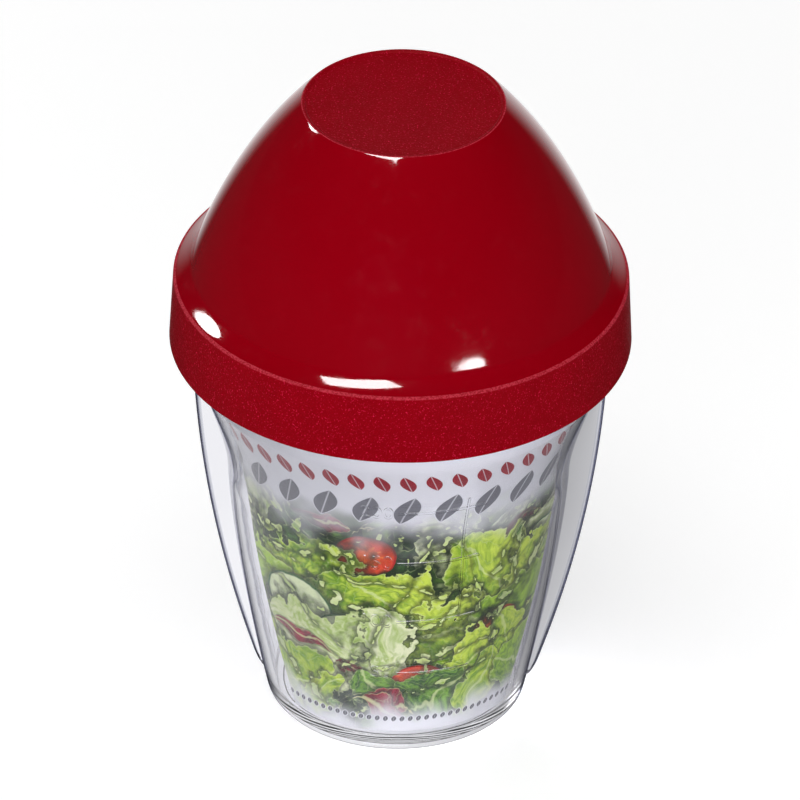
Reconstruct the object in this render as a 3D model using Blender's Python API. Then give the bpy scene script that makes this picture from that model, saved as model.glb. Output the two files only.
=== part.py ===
"""Shaker cup with a screw lid.

A clear egg-shaped cup with two grip fins stands on a foot ring. A red domed lid screws onto its neck and presses
a sealing ring onto the rim. A slotted mixing sieve rests on a ledge in the mouth, and a printed paper sheet
stands inside, against the front wall. +Z is up, the fins lie along X, and the front faces -Y. The origin is the
centre of the foot on the ground. Lengths are in metres and angles in degrees.
"""

import math

import bmesh
import bpy
from mathutils import Vector

# Fit between pieces that touch, and how finely round pieces are stepped
fit_gap = 0.0003
weld_distance = 0.000001
round_steps = 60

# Cup, foot to waist
wall = 0.002
foot_outer_radius = 0.0272
foot_ring_width = 0.0026
foot_recess = 0.001
foot_edge = 0.0003
foot_rise = 0.002
foot_step = 0.001
belly_radius = 0.0358
belly_height = 0.0377
waist_radius = 0.0365
waist_height = 0.056
floor_thickness = 0.0022
floor_corner = 0.0016

# Cup, waist to rim
flare_start_rise = 0.012
flare_lean = 0.0005
flare_end_drop = 0.007
neck_radius = 0.0442
neck_height = 0.088
neck_length = 0.012
neck_wall = 0.0022
ledge_width = 0.001
ledge_depth = 0.0065
rim_edge = 0.0004

# Grip fins, one on each side of the cup
fin_thickness = 0.0024
fin_foot_height = 0.0025
fin_foot_radius = 0.0296
fin_corner = 0.0035
fin_corner_shares = (0, 0.12, 0.4, 1)
fin_toe = 0.0005
fin_belly_radius = 0.0434
fin_belly_height = 0.044
fin_top_drop = 0.002

# Screw thread of the neck and the lid. The lid's ribs bear under the neck's ribs
thread_lead = 0.015
thread_starts = 3
thread_sweep_deg = 108
thread_steps = 18
thread_depth = 0.0012
thread_root_height = 0.0022
thread_crest_height = 0.0011
thread_sink = 0.0006
thread_run_in = 0.0043
thread_play = 0.0004
thread_bearing = 0.0018
thread_side_gap = 0.0008

# Lid, from its grip band over the shoulder to its flat top
band_lift = 0.0004
band_wall = 0.0019
band_flare = 0.0009
band_edge = 0.0004
lid_roof = 0.0016
shoulder_inset = 0.0006
shoulder_rise = 0.00045
shoulder_slope_reach = 0.0018
shoulder_slope_rise = 0.0012
dome_foot_inset = 0.00315
dome_foot_rise = 0.003
dome_belly_inset = 0.00845
dome_belly_rise = 0.0271
dome_top_radius = 0.02135
dome_rise = 0.0425
lid_wall = 0.0022
lip_width = 0.0006
lip_depth = 0.0004

# Sealing ring
seal_thickness = 0.0014
seal_setback = 0.0001
seal_edge = 0.0003

# Mixing sieve
sieve_plate = 0.0016
sieve_hub_radius = 0.0055
sieve_bar_width = 0.0034
sieve_bar_margin = 0.0003
sieve_slots_per_row = (4, 8, 8, 16, 16)
sieve_steps = 48
hoop_inset = 0.0015
hoop_wall = 0.0014
hoop_height = 0.0045
knob_height = 0.009
knob_taper_share = 0.8

# Paper insert
paper_thickness = 0.00025
paper_gap = 0.00035
paper_lift = 0.0018
paper_top_drop = 0.0018
paper_centre_deg = 5
paper_top_half_deg = 73
paper_bottom_half_deg = 54
paper_columns = 20

# Heights that follow from the sizes above
floor_height = foot_recess + floor_thickness
fin_top_height = neck_height - fin_top_drop
ledge_height = neck_height
rim_height = neck_height + neck_length
seal_bottom = rim_height + fit_gap
lid_underside = seal_bottom + seal_thickness + fit_gap
band_bottom = neck_height + band_lift
band_top = lid_underside + lid_roof
lid_height = band_top + dome_rise
paper_bottom = floor_height + paper_lift
paper_top = ledge_height - paper_top_drop

# Radii that follow from the sizes above
body_foot_radius = foot_outer_radius + foot_step
neck_inner_radius = neck_radius - neck_wall
ledge_radius = neck_inner_radius - ledge_width
thread_crest_radius = neck_radius + thread_depth
band_inner_radius = thread_crest_radius + thread_side_gap
band_top_radius = band_inner_radius + band_wall
band_bottom_radius = band_top_radius + band_flare
shoulder_radius = band_top_radius - shoulder_inset
dome_foot_radius = shoulder_radius - dome_foot_inset
seal_inner_radius = neck_inner_radius + seal_setback
flange_radius = neck_inner_radius - fit_gap
hoop_radius = flange_radius - hoop_inset


def curve(start, pull, end, steps):
    """Points of a smooth bend from start to end, drawn towards pull, without its first point."""
    points = []
    for i in range(1, steps + 1):
        t = i / steps
        points.append(start * (1 - t) ** 2 + pull * 2 * t * (1 - t) + end * t**2)
    return points


def double_curve(start, leave, arrive, end, steps):
    """Points of an S-bend that leaves start towards leave and reaches end from arrive."""
    points = []
    for i in range(1, steps + 1):
        t = i / steps
        points.append(
            start * (1 - t) ** 3
            + leave * 3 * t * (1 - t) ** 2
            + arrive * 3 * t**2 * (1 - t)
            + end * t**3
        )
    return points


def radius_at(outline, height):
    """Radius of an outline that rises all the way, at one height."""
    for low, high in zip(outline, outline[1:]):
        if low.y <= height <= high.y:
            share = (height - low.y) / (high.y - low.y)
            return low.x + (high.x - low.x) * share
    return outline[0].x if height < outline[0].y else outline[-1].x


def moved_in(points, distance):
    """The same line moved sideways by distance, to the left of its direction."""
    moved = []
    for i, point in enumerate(points):
        before = points[max(i - 1, 0)]
        after = points[min(i + 1, len(points) - 1)]
        along = (after - before).normalized()
        moved.append(point + Vector((-along.y, along.x)) * distance)
    return moved


def turned(profile, stretches, closed):
    """A bmesh turned about Z from a profile of (radius, height), in stretches of (angle in degrees, steps)."""
    solid = bmesh.new()
    turn_start = -stretches[0][0] / 2
    cosine = math.cos(math.radians(turn_start))
    sine = math.sin(math.radians(turn_start))
    verts = [solid.verts.new((p.x * cosine, p.x * sine, p.y)) for p in profile]
    pairs = list(zip(verts, verts[1:]))
    if closed:
        pairs.append((verts[-1], verts[0]))
    ring = verts + [solid.edges.new(pair) for pair in pairs]
    for angle, steps in stretches:
        swept = bmesh.ops.spin(
            solid, geom=ring, cent=(0, 0, 0), axis=(0, 0, 1), angle=math.radians(angle), steps=steps
        )
        ring = swept["geom_last"]
    bmesh.ops.remove_doubles(solid, verts=solid.verts, dist=weld_distance)
    bmesh.ops.recalc_face_normals(solid, faces=solid.faces)
    return solid


def pulled_out(solid, faces):
    """Pulls faces out of a solid and gives the new corners, which are still to be moved."""
    grown = bmesh.ops.extrude_face_region(solid, geom=faces)
    bmesh.ops.delete(solid, geom=faces, context="FACES")
    return [part for part in grown["geom"] if isinstance(part, bmesh.types.BMVert)]


def full_turn():
    """One even full turn, for turned()."""
    return [(360 / round_steps, 1), (360 - 360 / round_steps, round_steps - 1)]


def placed(name, solid, material):
    """A named object of the solid, shaded smooth with crisp edges, with its material."""
    mesh = bpy.data.meshes.new(name)
    solid.to_mesh(mesh)
    solid.free()
    mesh.shade_smooth()
    mesh.set_sharp_from_angle(angle=math.radians(30))
    mesh.materials.append(material)
    item = bpy.data.objects.new(name, mesh)
    bpy.context.scene.collection.objects.link(item)
    return item


def plastic(name, colour, roughness, transmission=0, alpha=1):
    """A plain material for one piece."""
    material = bpy.data.materials.new(name)
    material.use_nodes = True
    surface = material.node_tree.nodes["Principled BSDF"]
    surface.inputs["Base Color"].default_value = (*colour, 1)
    surface.inputs["Roughness"].default_value = roughness
    surface.inputs["Metallic"].default_value = 0
    surface.inputs["Transmission Weight"].default_value = transmission
    surface.inputs["Alpha"].default_value = alpha
    material.diffuse_color = (*colour, alpha)
    return material


def helper(name, solid):
    """A shape that is joined to a piece and isn't a piece itself."""
    mesh = bpy.data.meshes.new(name)
    solid.to_mesh(mesh)
    solid.free()
    item = bpy.data.objects.new(name, mesh)
    bpy.context.scene.collection.objects.link(item)
    item.hide_render = True
    item.display_type = "WIRE"
    return item


def joined_with(item, other):
    """Joins the other shape to the item as one solid."""
    union = item.modifiers.new("thread", "BOOLEAN")
    union.operation = "UNION"
    union.solver = "EXACT"
    union.object = other


def thread_ribs(root_radius, crest_radius, start_height):
    """Helical ribs, evenly spaced round the axis, from a root sunk into the wall to their crest."""
    ribs = bmesh.new()
    outward = 1 if crest_radius > root_radius else -1
    sunk_radius = root_radius - outward * thread_sink
    flank = (thread_root_height - thread_crest_height) / 2
    sunk_height = thread_root_height + 2 * flank * thread_sink / thread_depth
    section = [
        (sunk_radius, -sunk_height / 2),
        (crest_radius, -thread_crest_height / 2),
        (crest_radius, thread_crest_height / 2),
        (sunk_radius, sunk_height / 2),
    ]
    for start in range(thread_starts):
        rings = []
        for step in range(thread_steps + 1):
            turn = thread_sweep_deg * step / thread_steps
            angle = math.radians(turn + start * 360 / thread_starts)
            height = start_height + thread_lead * turn / 360
            # The rib sinks away at its two ends, so that the lid finds its way in
            grown = min(1, (step + 1) / 2, (thread_steps - step + 1) / 2)
            ring = []
            for radius, rise in section:
                reach = sunk_radius + (radius - sunk_radius) * grown
                ring.append(
                    ribs.verts.new((reach * math.cos(angle), reach * math.sin(angle), height + rise))
                )
            rings.append(ring)
        for low, high in zip(rings, rings[1:]):
            for i in range(len(section)):
                j = (i + 1) % len(section)
                ribs.faces.new((low[i], low[j], high[j], high[i]))
        ribs.faces.new(rings[0])
        ribs.faces.new(reversed(rings[-1]))
    bmesh.ops.recalc_face_normals(ribs, faces=ribs.faces)
    return ribs


def cup_outline():
    """Outer wall of the cup as (radius, height), from above its foot to below its neck thread."""
    foot = Vector((body_foot_radius, foot_rise))
    belly = Vector((belly_radius, belly_height))
    waist = Vector((waist_radius, waist_height))
    leave = waist + Vector((flare_lean, flare_start_rise))
    neck = Vector((neck_radius, neck_height))
    arrive = neck - Vector((0, flare_end_drop))
    return [foot, *curve(foot, belly, waist, 7), *double_curve(waist, leave, arrive, neck, 8)]


def fin_reach(height):
    """Distance of a fin's outer edge from the axis at one height."""
    foot = Vector((fin_foot_radius, fin_foot_height))
    belly = Vector((fin_belly_radius, fin_belly_height))
    top = Vector((neck_radius, fin_top_height))
    reach = radius_at([foot, *curve(foot, belly, top, 24)], height)
    root = radius_at(cup_outline(), height) + fin_toe
    below = min(1, max(0, (fin_foot_height + fin_corner - height) / fin_corner))
    return max(root, root + (reach - root) * math.sqrt(1 - below**2))


def build_cup(material):
    """The clear cup: body with foot ring, two fins, flared neck, ledge and outer thread."""
    outline = cup_outline()
    fin_heights = [fin_foot_height + fin_corner * share for share in fin_corner_shares]
    body = [p for p in outline if p.y <= fin_top_height and p.y > fin_heights[-1] + fin_corner]
    low_wall = [Vector((radius_at(outline, z), z)) for z in (*fin_heights, fin_heights[-1] + fin_corner)]
    top_ring = Vector((radius_at(outline, fin_top_height), fin_top_height))
    foot_inner_radius = foot_outer_radius - foot_ring_width
    under = [
        Vector((0, foot_recess)),
        Vector((foot_inner_radius, foot_recess)),
        Vector((foot_inner_radius, 0)),
        Vector((foot_outer_radius, 0)),
    ]
    corner = Vector((body_foot_radius - foot_edge, foot_edge))
    edge = curve(under[-1], corner, outline[0], 3)
    rim = [
        Vector((neck_radius, neck_height)),
        Vector((neck_radius, rim_height - rim_edge)),
        Vector((neck_radius - rim_edge, rim_height)),
        Vector((neck_inner_radius + rim_edge, rim_height)),
        Vector((neck_inner_radius, rim_height - rim_edge)),
        Vector((neck_inner_radius, ledge_height)),
        Vector((ledge_radius, ledge_height)),
    ]
    inside_top = ledge_height - ledge_depth
    inside_low = floor_height + floor_corner
    inner = [Vector((ledge_radius, inside_top))]
    inner += [Vector((p.x - wall, p.y)) for p in reversed(outline) if inside_low < p.y < inside_top]
    corner_top = Vector((radius_at(outline, inside_low) - wall, inside_low))
    corner_pull = Vector((radius_at(outline, floor_height) - wall, floor_height))
    corner_end = Vector((corner_pull.x - floor_corner, floor_height))
    inner += [corner_top, *curve(corner_top, corner_pull, corner_end, 3), Vector((0, floor_height))]
    profile = under + edge + low_wall + body + [top_ring] + rim + inner

    fin_turn = math.degrees(fin_thickness / waist_radius)
    half_turn = [(fin_turn, 1), (180 - fin_turn, round_steps // 2 - 1)]
    cup = turned(profile, half_turn * 2, closed=False)

    for side in (-1, 1):
        column = []
        for face in cup.faces:
            centre = face.calc_center_median()
            outside = face.normal.x * side > 0.5
            in_column = centre.x * side > 0 and abs(centre.y) < fin_thickness / 4
            if outside and in_column and fin_foot_height < centre.z < fin_top_height:
                if centre.x * side > radius_at(outline, centre.z) - wall / 2:
                    column.append(face)
        for vert in {v for face in column for v in face.verts}:
            vert.co.y = math.copysign(fin_thickness / 2, vert.co.y)
        for vert in pulled_out(cup, column):
            vert.co.x = side * fin_reach(vert.co.z)
    bmesh.ops.recalc_face_normals(cup, faces=cup.faces)

    item = placed("cup", cup, material)
    first_rib = neck_height + thread_run_in
    joined_with(item, helper("neck_thread", thread_ribs(neck_radius, thread_crest_radius, first_rib)))
    return item


def build_lid(material):
    """The red lid: flat top with its lip, dome, shoulder, grip band and inner thread."""
    lip = Vector((dome_top_radius, lid_height))
    belly = Vector((dome_foot_radius - dome_belly_inset, band_top + dome_belly_rise))
    dome_foot = Vector((dome_foot_radius, band_top + dome_foot_rise))
    shoulder = Vector((shoulder_radius, band_top + shoulder_rise))
    slope = Vector((dome_foot_radius + shoulder_slope_reach, band_top + shoulder_slope_rise))
    dome = [lip, *curve(lip, belly, dome_foot, 9)]
    top = [
        Vector((0, lid_height - lip_depth)),
        Vector((dome_top_radius - lip_width - lip_depth, lid_height - lip_depth)),
        Vector((dome_top_radius - lip_width, lid_height)),
    ]
    band = [
        Vector((band_top_radius - band_edge, band_top + shoulder_rise / 2)),
        Vector((band_top_radius, band_top - band_edge)),
        Vector((band_bottom_radius, band_bottom + band_edge)),
        Vector((band_bottom_radius - band_edge, band_bottom)),
        Vector((band_inner_radius + band_edge, band_bottom)),
        Vector((band_inner_radius, band_bottom + band_edge)),
        Vector((band_inner_radius, lid_underside)),
    ]
    inner_dome = moved_in(dome, -lid_wall)
    mouth = Vector((inner_dome[-1].x, lid_underside))
    ceiling = lid_height - lip_depth - lid_wall
    inner = [mouth, *[p for p in reversed(inner_dome) if p.y < ceiling], Vector((0, ceiling))]
    profile = top + dome + curve(dome_foot, slope, shoulder, 4) + band + inner
    lid = turned(profile, full_turn(), closed=False)

    item = placed("lid", lid, material)
    crest = neck_radius + thread_play
    first_rib = neck_height + thread_run_in - thread_bearing
    joined_with(item, helper("lid_thread", thread_ribs(band_inner_radius, crest, first_rib)))
    return item


def build_sealing_ring(material):
    """The flat silicone ring that the lid presses onto the rim."""
    outer = band_inner_radius - fit_gap
    top = seal_bottom + seal_thickness
    profile = [
        Vector((seal_inner_radius, seal_bottom + seal_edge)),
        Vector((seal_inner_radius + seal_edge, seal_bottom)),
        Vector((outer - seal_edge, seal_bottom)),
        Vector((outer, seal_bottom + seal_edge)),
        Vector((outer, top - seal_edge)),
        Vector((outer - seal_edge, top)),
        Vector((seal_inner_radius + seal_edge, top)),
        Vector((seal_inner_radius, top - seal_edge)),
    ]
    return placed("sealing_ring", turned(profile, full_turn(), closed=True), material)


def build_mixing_sieve(material):
    """The slotted plate with its rim, hoop and centre knob, lying on the ledge in the mouth."""
    bottom = ledge_height + fit_gap
    hoop_bore = hoop_radius - hoop_wall
    pitch = (hoop_bore - sieve_bar_margin - sieve_hub_radius) / len(sieve_slots_per_row)
    slot_ends = [sieve_hub_radius + pitch * (row + 1) for row in range(len(sieve_slots_per_row))]
    slot_starts = [end - pitch + sieve_bar_width for end in slot_ends]
    radii = [0, sieve_hub_radius]
    for start, end in zip(slot_starts, slot_ends):
        radii += [start, end]
    radii += [hoop_bore, hoop_radius, flange_radius]
    line = [Vector((radius, bottom)) for radius in radii]
    step_deg = 360 / sieve_steps
    sieve = turned(line, [(step_deg, 1), (360 - step_deg, sieve_steps - 1)], closed=False)

    def polar(face):
        centre = face.calc_center_median()
        turn = math.degrees(math.atan2(centre.y, centre.x)) % 360
        return centre.xy.length, round(turn / step_deg)

    cut = []
    for face in sieve.faces:
        radius, step = polar(face)
        for start, end, slots in zip(slot_starts, slot_ends, sieve_slots_per_row):
            if start < radius < end and step % (sieve_steps // slots) > 0:
                cut.append(face)
    bmesh.ops.delete(sieve, geom=cut, context="FACES")
    grown = bmesh.ops.extrude_face_region(sieve, geom=list(sieve.faces), use_keep_orig=True)
    for vert in grown["geom"]:
        if isinstance(vert, bmesh.types.BMVert):
            vert.co.z += sieve_plate

    def raised(low_radius, high_radius, height, taper_share):
        faces = []
        for face in sieve.faces:
            centre = face.calc_center_median()
            in_ring = low_radius < centre.xy.length < high_radius
            if in_ring and centre.z > bottom + sieve_plate / 2 and abs(face.normal.z) > 0.5:
                faces.append(face)
        for vert in pulled_out(sieve, faces):
            vert.co.z += height
            vert.co.xy *= taper_share

    bmesh.ops.recalc_face_normals(sieve, faces=sieve.faces)
    raised(hoop_bore, hoop_radius, hoop_height, 1)
    raised(0, sieve_hub_radius, knob_height, knob_taper_share)
    bmesh.ops.recalc_face_normals(sieve, faces=sieve.faces)
    return placed("mixing_sieve", sieve, material)


def build_paper_insert(material):
    """The printed sheet, curved to the front wall and narrower at its foot."""
    outline = cup_outline()
    heights = [paper_bottom, *[p.y for p in outline if paper_bottom < p.y < paper_top], paper_top]
    rows = len(heights) - 1
    sheet = bmesh.new()

    def corner(column, height, inset):
        share = (height - paper_bottom) / (paper_top - paper_bottom)
        half = paper_bottom_half_deg + (paper_top_half_deg - paper_bottom_half_deg) * share
        angle = math.radians(-90 + paper_centre_deg + half * (2 * column / paper_columns - 1))
        radius = min(radius_at(outline, height) - wall, ledge_radius) - paper_gap - inset
        return sheet.verts.new((radius * math.cos(angle), radius * math.sin(angle), height))

    layers = []
    for inset in (0, paper_thickness):
        layers.append([[corner(c, height, inset) for height in heights] for c in range(paper_columns + 1)])
    for grid in layers:
        for c in range(paper_columns):
            for r in range(rows):
                sheet.faces.new((grid[c][r], grid[c + 1][r], grid[c + 1][r + 1], grid[c][r + 1]))
    outer, inner = layers
    for c in range(paper_columns):
        for r in (0, rows):
            sheet.faces.new((outer[c][r], outer[c + 1][r], inner[c + 1][r], inner[c][r]))
    for r in range(rows):
        for c in (0, paper_columns):
            sheet.faces.new((outer[c][r], outer[c][r + 1], inner[c][r + 1], inner[c][r]))
    bmesh.ops.recalc_face_normals(sheet, faces=sheet.faces)
    return placed("paper_insert", sheet, material)


def pivot(name, height, children):
    """An empty on the cup's axis that carries the pieces that move together."""
    empty = bpy.data.objects.new(name, None)
    bpy.context.scene.collection.objects.link(empty)
    empty.location = (0, 0, height)
    for child in children:
        child.parent = empty
        child.location = (0, 0, -height)
    return empty


for item in list(bpy.data.objects):
    bpy.data.objects.remove(item)

build_cup(plastic("clear_plastic", (0.93, 0.93, 0.95), 0.05, transmission=1, alpha=0.35))
build_paper_insert(plastic("printed_paper", (0.86, 0.87, 0.84), 0.6))
lid = build_lid(plastic("red_plastic", (0.5, 0.0, 0.012), 0.15))
sealing_ring = build_sealing_ring(plastic("silicone", (0.82, 0.82, 0.82), 0.45))
mixing_sieve = build_mixing_sieve(plastic("white_plastic", (0.85, 0.85, 0.84), 0.35))
pivot("lid_axis", lid_underside, [lid, sealing_ring])
pivot("sieve_axis", ledge_height, [mixing_sieve])
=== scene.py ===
import math
import random

import bmesh
import bpy
from mathutils import Matrix, Vector


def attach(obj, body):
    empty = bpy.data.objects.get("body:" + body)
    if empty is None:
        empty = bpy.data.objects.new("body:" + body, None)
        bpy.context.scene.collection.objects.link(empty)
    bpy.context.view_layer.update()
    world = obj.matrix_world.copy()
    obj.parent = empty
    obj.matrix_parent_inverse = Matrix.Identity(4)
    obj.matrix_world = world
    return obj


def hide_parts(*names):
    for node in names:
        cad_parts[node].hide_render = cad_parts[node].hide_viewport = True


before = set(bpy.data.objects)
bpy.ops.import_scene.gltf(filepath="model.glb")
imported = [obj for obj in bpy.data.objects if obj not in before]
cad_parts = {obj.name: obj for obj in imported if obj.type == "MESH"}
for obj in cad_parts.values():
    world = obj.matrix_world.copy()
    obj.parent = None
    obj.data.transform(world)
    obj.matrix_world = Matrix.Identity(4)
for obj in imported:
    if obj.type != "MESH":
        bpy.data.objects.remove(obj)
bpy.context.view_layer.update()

# Cup: one clear injection moulding. The egg-shaped body stands on a foot ring and has a flat grip fin down
# each side. The neck above the waist carries the outer screw thread and, inside, the ledge for the sieve. The
# mould raises the graduations and their numbers on the front wall.
wall = 0.002
foot_outer_radius = 0.0272
foot_ring_width = 0.0026
foot_recess = 0.001
foot_rounding = 0.0003
foot_rise = 0.002
foot_step = 0.001
belly_radius, belly_height = 0.0358, 0.0377
waist_radius, waist_height = 0.0365, 0.056
floor_thickness = 0.0022
floor_corner = 0.0016
flare_start_rise = 0.012
flare_lean = 0.0005
flare_end_drop = 0.007
neck_radius, neck_height = 0.0442, 0.088
neck_length = 0.012
neck_wall = 0.0022
ledge_width = 0.001
ledge_depth = 0.0065
ledge_rounding = 0.0002
rim_edge = 0.0004
fin_thickness = 0.0024
fin_foot_radius, fin_foot_height = 0.0296, 0.0025
fin_corner = 0.0035
fin_toe = 0.0005
fin_belly_radius, fin_belly_height = 0.0434, 0.044
fin_top_drop = 0.002
thread_lead = 0.015
thread_starts = 3
thread_sweep = math.radians(108)
thread_depth = 0.0012
thread_root_height = 0.0022
thread_crest_height = 0.0011
thread_sink = 0.0006
thread_run_in = 0.0043
thread_run_out_share = 1 / 12
thread_end_depth_share = 0.1
weld_distance = 0.000001
crease_angle = math.radians(30)
body_steps, flare_steps, fin_steps, thread_steps = 36, 32, 48, 48
foot_edge_steps, fin_corner_steps, floor_corner_steps = 6, 6, 8
fin_columns, half_turn_steps = 10, 100

foot_inner_radius = foot_outer_radius - foot_ring_width
body_foot_radius = foot_outer_radius + foot_step
floor_height = foot_recess + floor_thickness
rim_height = neck_height + neck_length
neck_inner_radius = neck_radius - neck_wall
ledge_radius = neck_inner_radius - ledge_width
fin_top_height = neck_height - fin_top_drop
thread_crest_radius = neck_radius + thread_depth


def bend(*corners, steps):
    """Points of a smooth bend from the first corner, left out, to the last, drawn towards the others."""
    points = []
    for i in range(1, steps + 1):
        line = corners
        while len(line) > 1:
            line = [low.lerp(high, i / steps) for low, high in zip(line, line[1:])]
        points.append(line[0])
    return points


def rounded(*corners, steps=3):
    """A line through corners of (radius, height, rounding), each corner rounded by its own amount."""
    line = []
    for i, (radius, height, rounding) in enumerate(corners):
        corner = Vector((radius, height))
        if rounding:
            before, after = Vector(corners[i - 1][:2]), Vector(corners[i + 1][:2])
            enter = corner + (before - corner).normalized() * rounding
            leave = corner + (after - corner).normalized() * rounding
            line += [enter, *bend(enter, corner, leave, steps=steps)]
        else:
            line.append(corner)
    return line


def radius_at(outline, height):
    """Radius of an outline that rises all the way, at one height."""
    for low, high in zip(outline, outline[1:]):
        if low.y <= height <= high.y:
            return low.lerp(high, (height - low.y) / (high.y - low.y)).x
    return outline[-1].x


def turned(profile, *stretches, closed=False):
    """A bmesh turned about the cup's axis from a (radius, height) profile, in stretches of (angle, steps)."""
    solid = bmesh.new()
    start = Matrix.Rotation(-stretches[0][0] / 2, 3, "Z")
    verts = [solid.verts.new(start @ Vector((p.x, 0, p.y))) for p in profile]
    pairs = list(zip(verts, verts[1:])) + [(verts[-1], verts[0])] * closed
    line = verts + [solid.edges.new(pair) for pair in pairs]
    for angle, steps in stretches:
        swept = bmesh.ops.spin(
            solid, geom=line, cent=(0, 0, 0), axis=(0, 0, 1), angle=angle, steps=steps,
            use_merge=len(stretches) == 1,
        )
        line = swept["geom_last"]
    bmesh.ops.remove_doubles(solid, verts=solid.verts, dist=weld_distance)
    bmesh.ops.recalc_face_normals(solid, faces=solid.faces)
    return solid


def placed(name, data):
    """A new object in the scene."""
    item = bpy.data.objects.new(name, data)
    bpy.context.scene.collection.objects.link(item)
    return item


def made_mesh(item):
    """A new mesh of what an object shows, with its modifiers applied."""
    bpy.context.view_layer.update()
    return bpy.data.meshes.new_from_object(item.evaluated_get(bpy.context.evaluated_depsgraph_get()))


def piece(name, solid, *materials):
    """A named object of the bmesh, shaded smooth up to its creases."""
    mesh = bpy.data.meshes.new(name)
    solid.to_mesh(mesh)
    solid.free()
    mesh.shade_smooth()
    mesh.set_sharp_from_angle(angle=crease_angle)
    for material in materials:
        mesh.materials.append(material)
    return placed(name, mesh)


def moulded_on(item, *additions):
    """Joins further closed shapes to a piece as one solid, and removes them."""
    for addition in additions:
        union = item.modifiers.new("moulding", "BOOLEAN")
        union.operation = "UNION"
        union.solver = "EXACT"
        union.object = addition
    mesh = made_mesh(item)
    mesh.shade_smooth()
    mesh.set_sharp_from_angle(angle=crease_angle)
    item.modifiers.clear()
    item.data = mesh
    for addition in additions:
        bpy.data.objects.remove(addition)


def thread_ribs(root_radius, crest_radius, start_height):
    """Helical ribs evenly round the axis, sunk into the wall at their root, that run out at both ends."""
    ribs = bmesh.new()
    outward = 1 if crest_radius > root_radius else -1
    sunk_radius = root_radius - outward * thread_sink
    sunk_height = thread_root_height * (1 + thread_sink / thread_depth / 2)
    section = [
        (sunk_radius, -sunk_height / 2),
        (crest_radius, -thread_crest_height / 2),
        (crest_radius, thread_crest_height / 2),
        (sunk_radius, sunk_height / 2),
    ]
    for start in range(thread_starts):
        begin = start * 2 * math.pi / thread_starts
        turn = Matrix.Rotation(begin, 3, "Z")
        verts = [ribs.verts.new(turn @ Vector((radius, 0, start_height + rise))) for radius, rise in section]
        line = verts + [ribs.edges.new(pair) for pair in zip(verts, verts[1:] + verts[:1])]
        ribs.faces.new(verts)
        rise = Vector((0, 0, thread_lead * thread_sweep / (2 * math.pi) / thread_steps))
        bmesh.ops.spin(
            ribs, geom=line, cent=(0, 0, 0), axis=(0, 0, 1), dvec=rise, angle=thread_sweep, steps=thread_steps
        )
    bmesh.ops.holes_fill(ribs, edges=[edge for edge in ribs.edges if edge.is_boundary], sides=len(section))
    for vert in ribs.verts:
        swept = math.atan2(vert.co.y, vert.co.x) % (2 * math.pi / thread_starts) / thread_sweep
        run_out = max(0, min(swept, 1 - swept)) / thread_run_out_share
        depth_share = min(1, thread_end_depth_share + run_out)
        reach = sunk_radius + (vert.co.xy.length - sunk_radius) * depth_share
        vert.co.xy = vert.co.xy.normalized() * reach
    bmesh.ops.recalc_face_normals(ribs, faces=ribs.faces)
    return ribs


def cup_outline():
    """Outer wall of the cup as (radius, height), from above its foot to below its thread."""
    foot = Vector((body_foot_radius, foot_rise))
    waist = Vector((waist_radius, waist_height))
    neck = Vector((neck_radius, neck_height))
    leave = waist + Vector((flare_lean, flare_start_rise))
    arrive = neck - Vector((0, flare_end_drop))
    belly = Vector((belly_radius, belly_height))
    flare = bend(waist, leave, arrive, neck, steps=flare_steps)
    return [foot, *bend(foot, belly, waist, steps=body_steps), *flare]


def fin_reach(outline, height):
    """Distance of a fin's outer edge from the axis at one height, with its rounded lower corner."""
    foot = Vector((fin_foot_radius, fin_foot_height))
    belly = Vector((fin_belly_radius, fin_belly_height))
    top = Vector((neck_radius, fin_top_height))
    reach = radius_at([foot, *bend(foot, belly, top, steps=fin_steps)], height)
    root = radius_at(outline, height) + fin_toe
    below = min(1, max(0, (fin_foot_height + fin_corner - height) / fin_corner))
    return max(root, root + (reach - root) * math.sqrt(1 - below**2))


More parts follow.
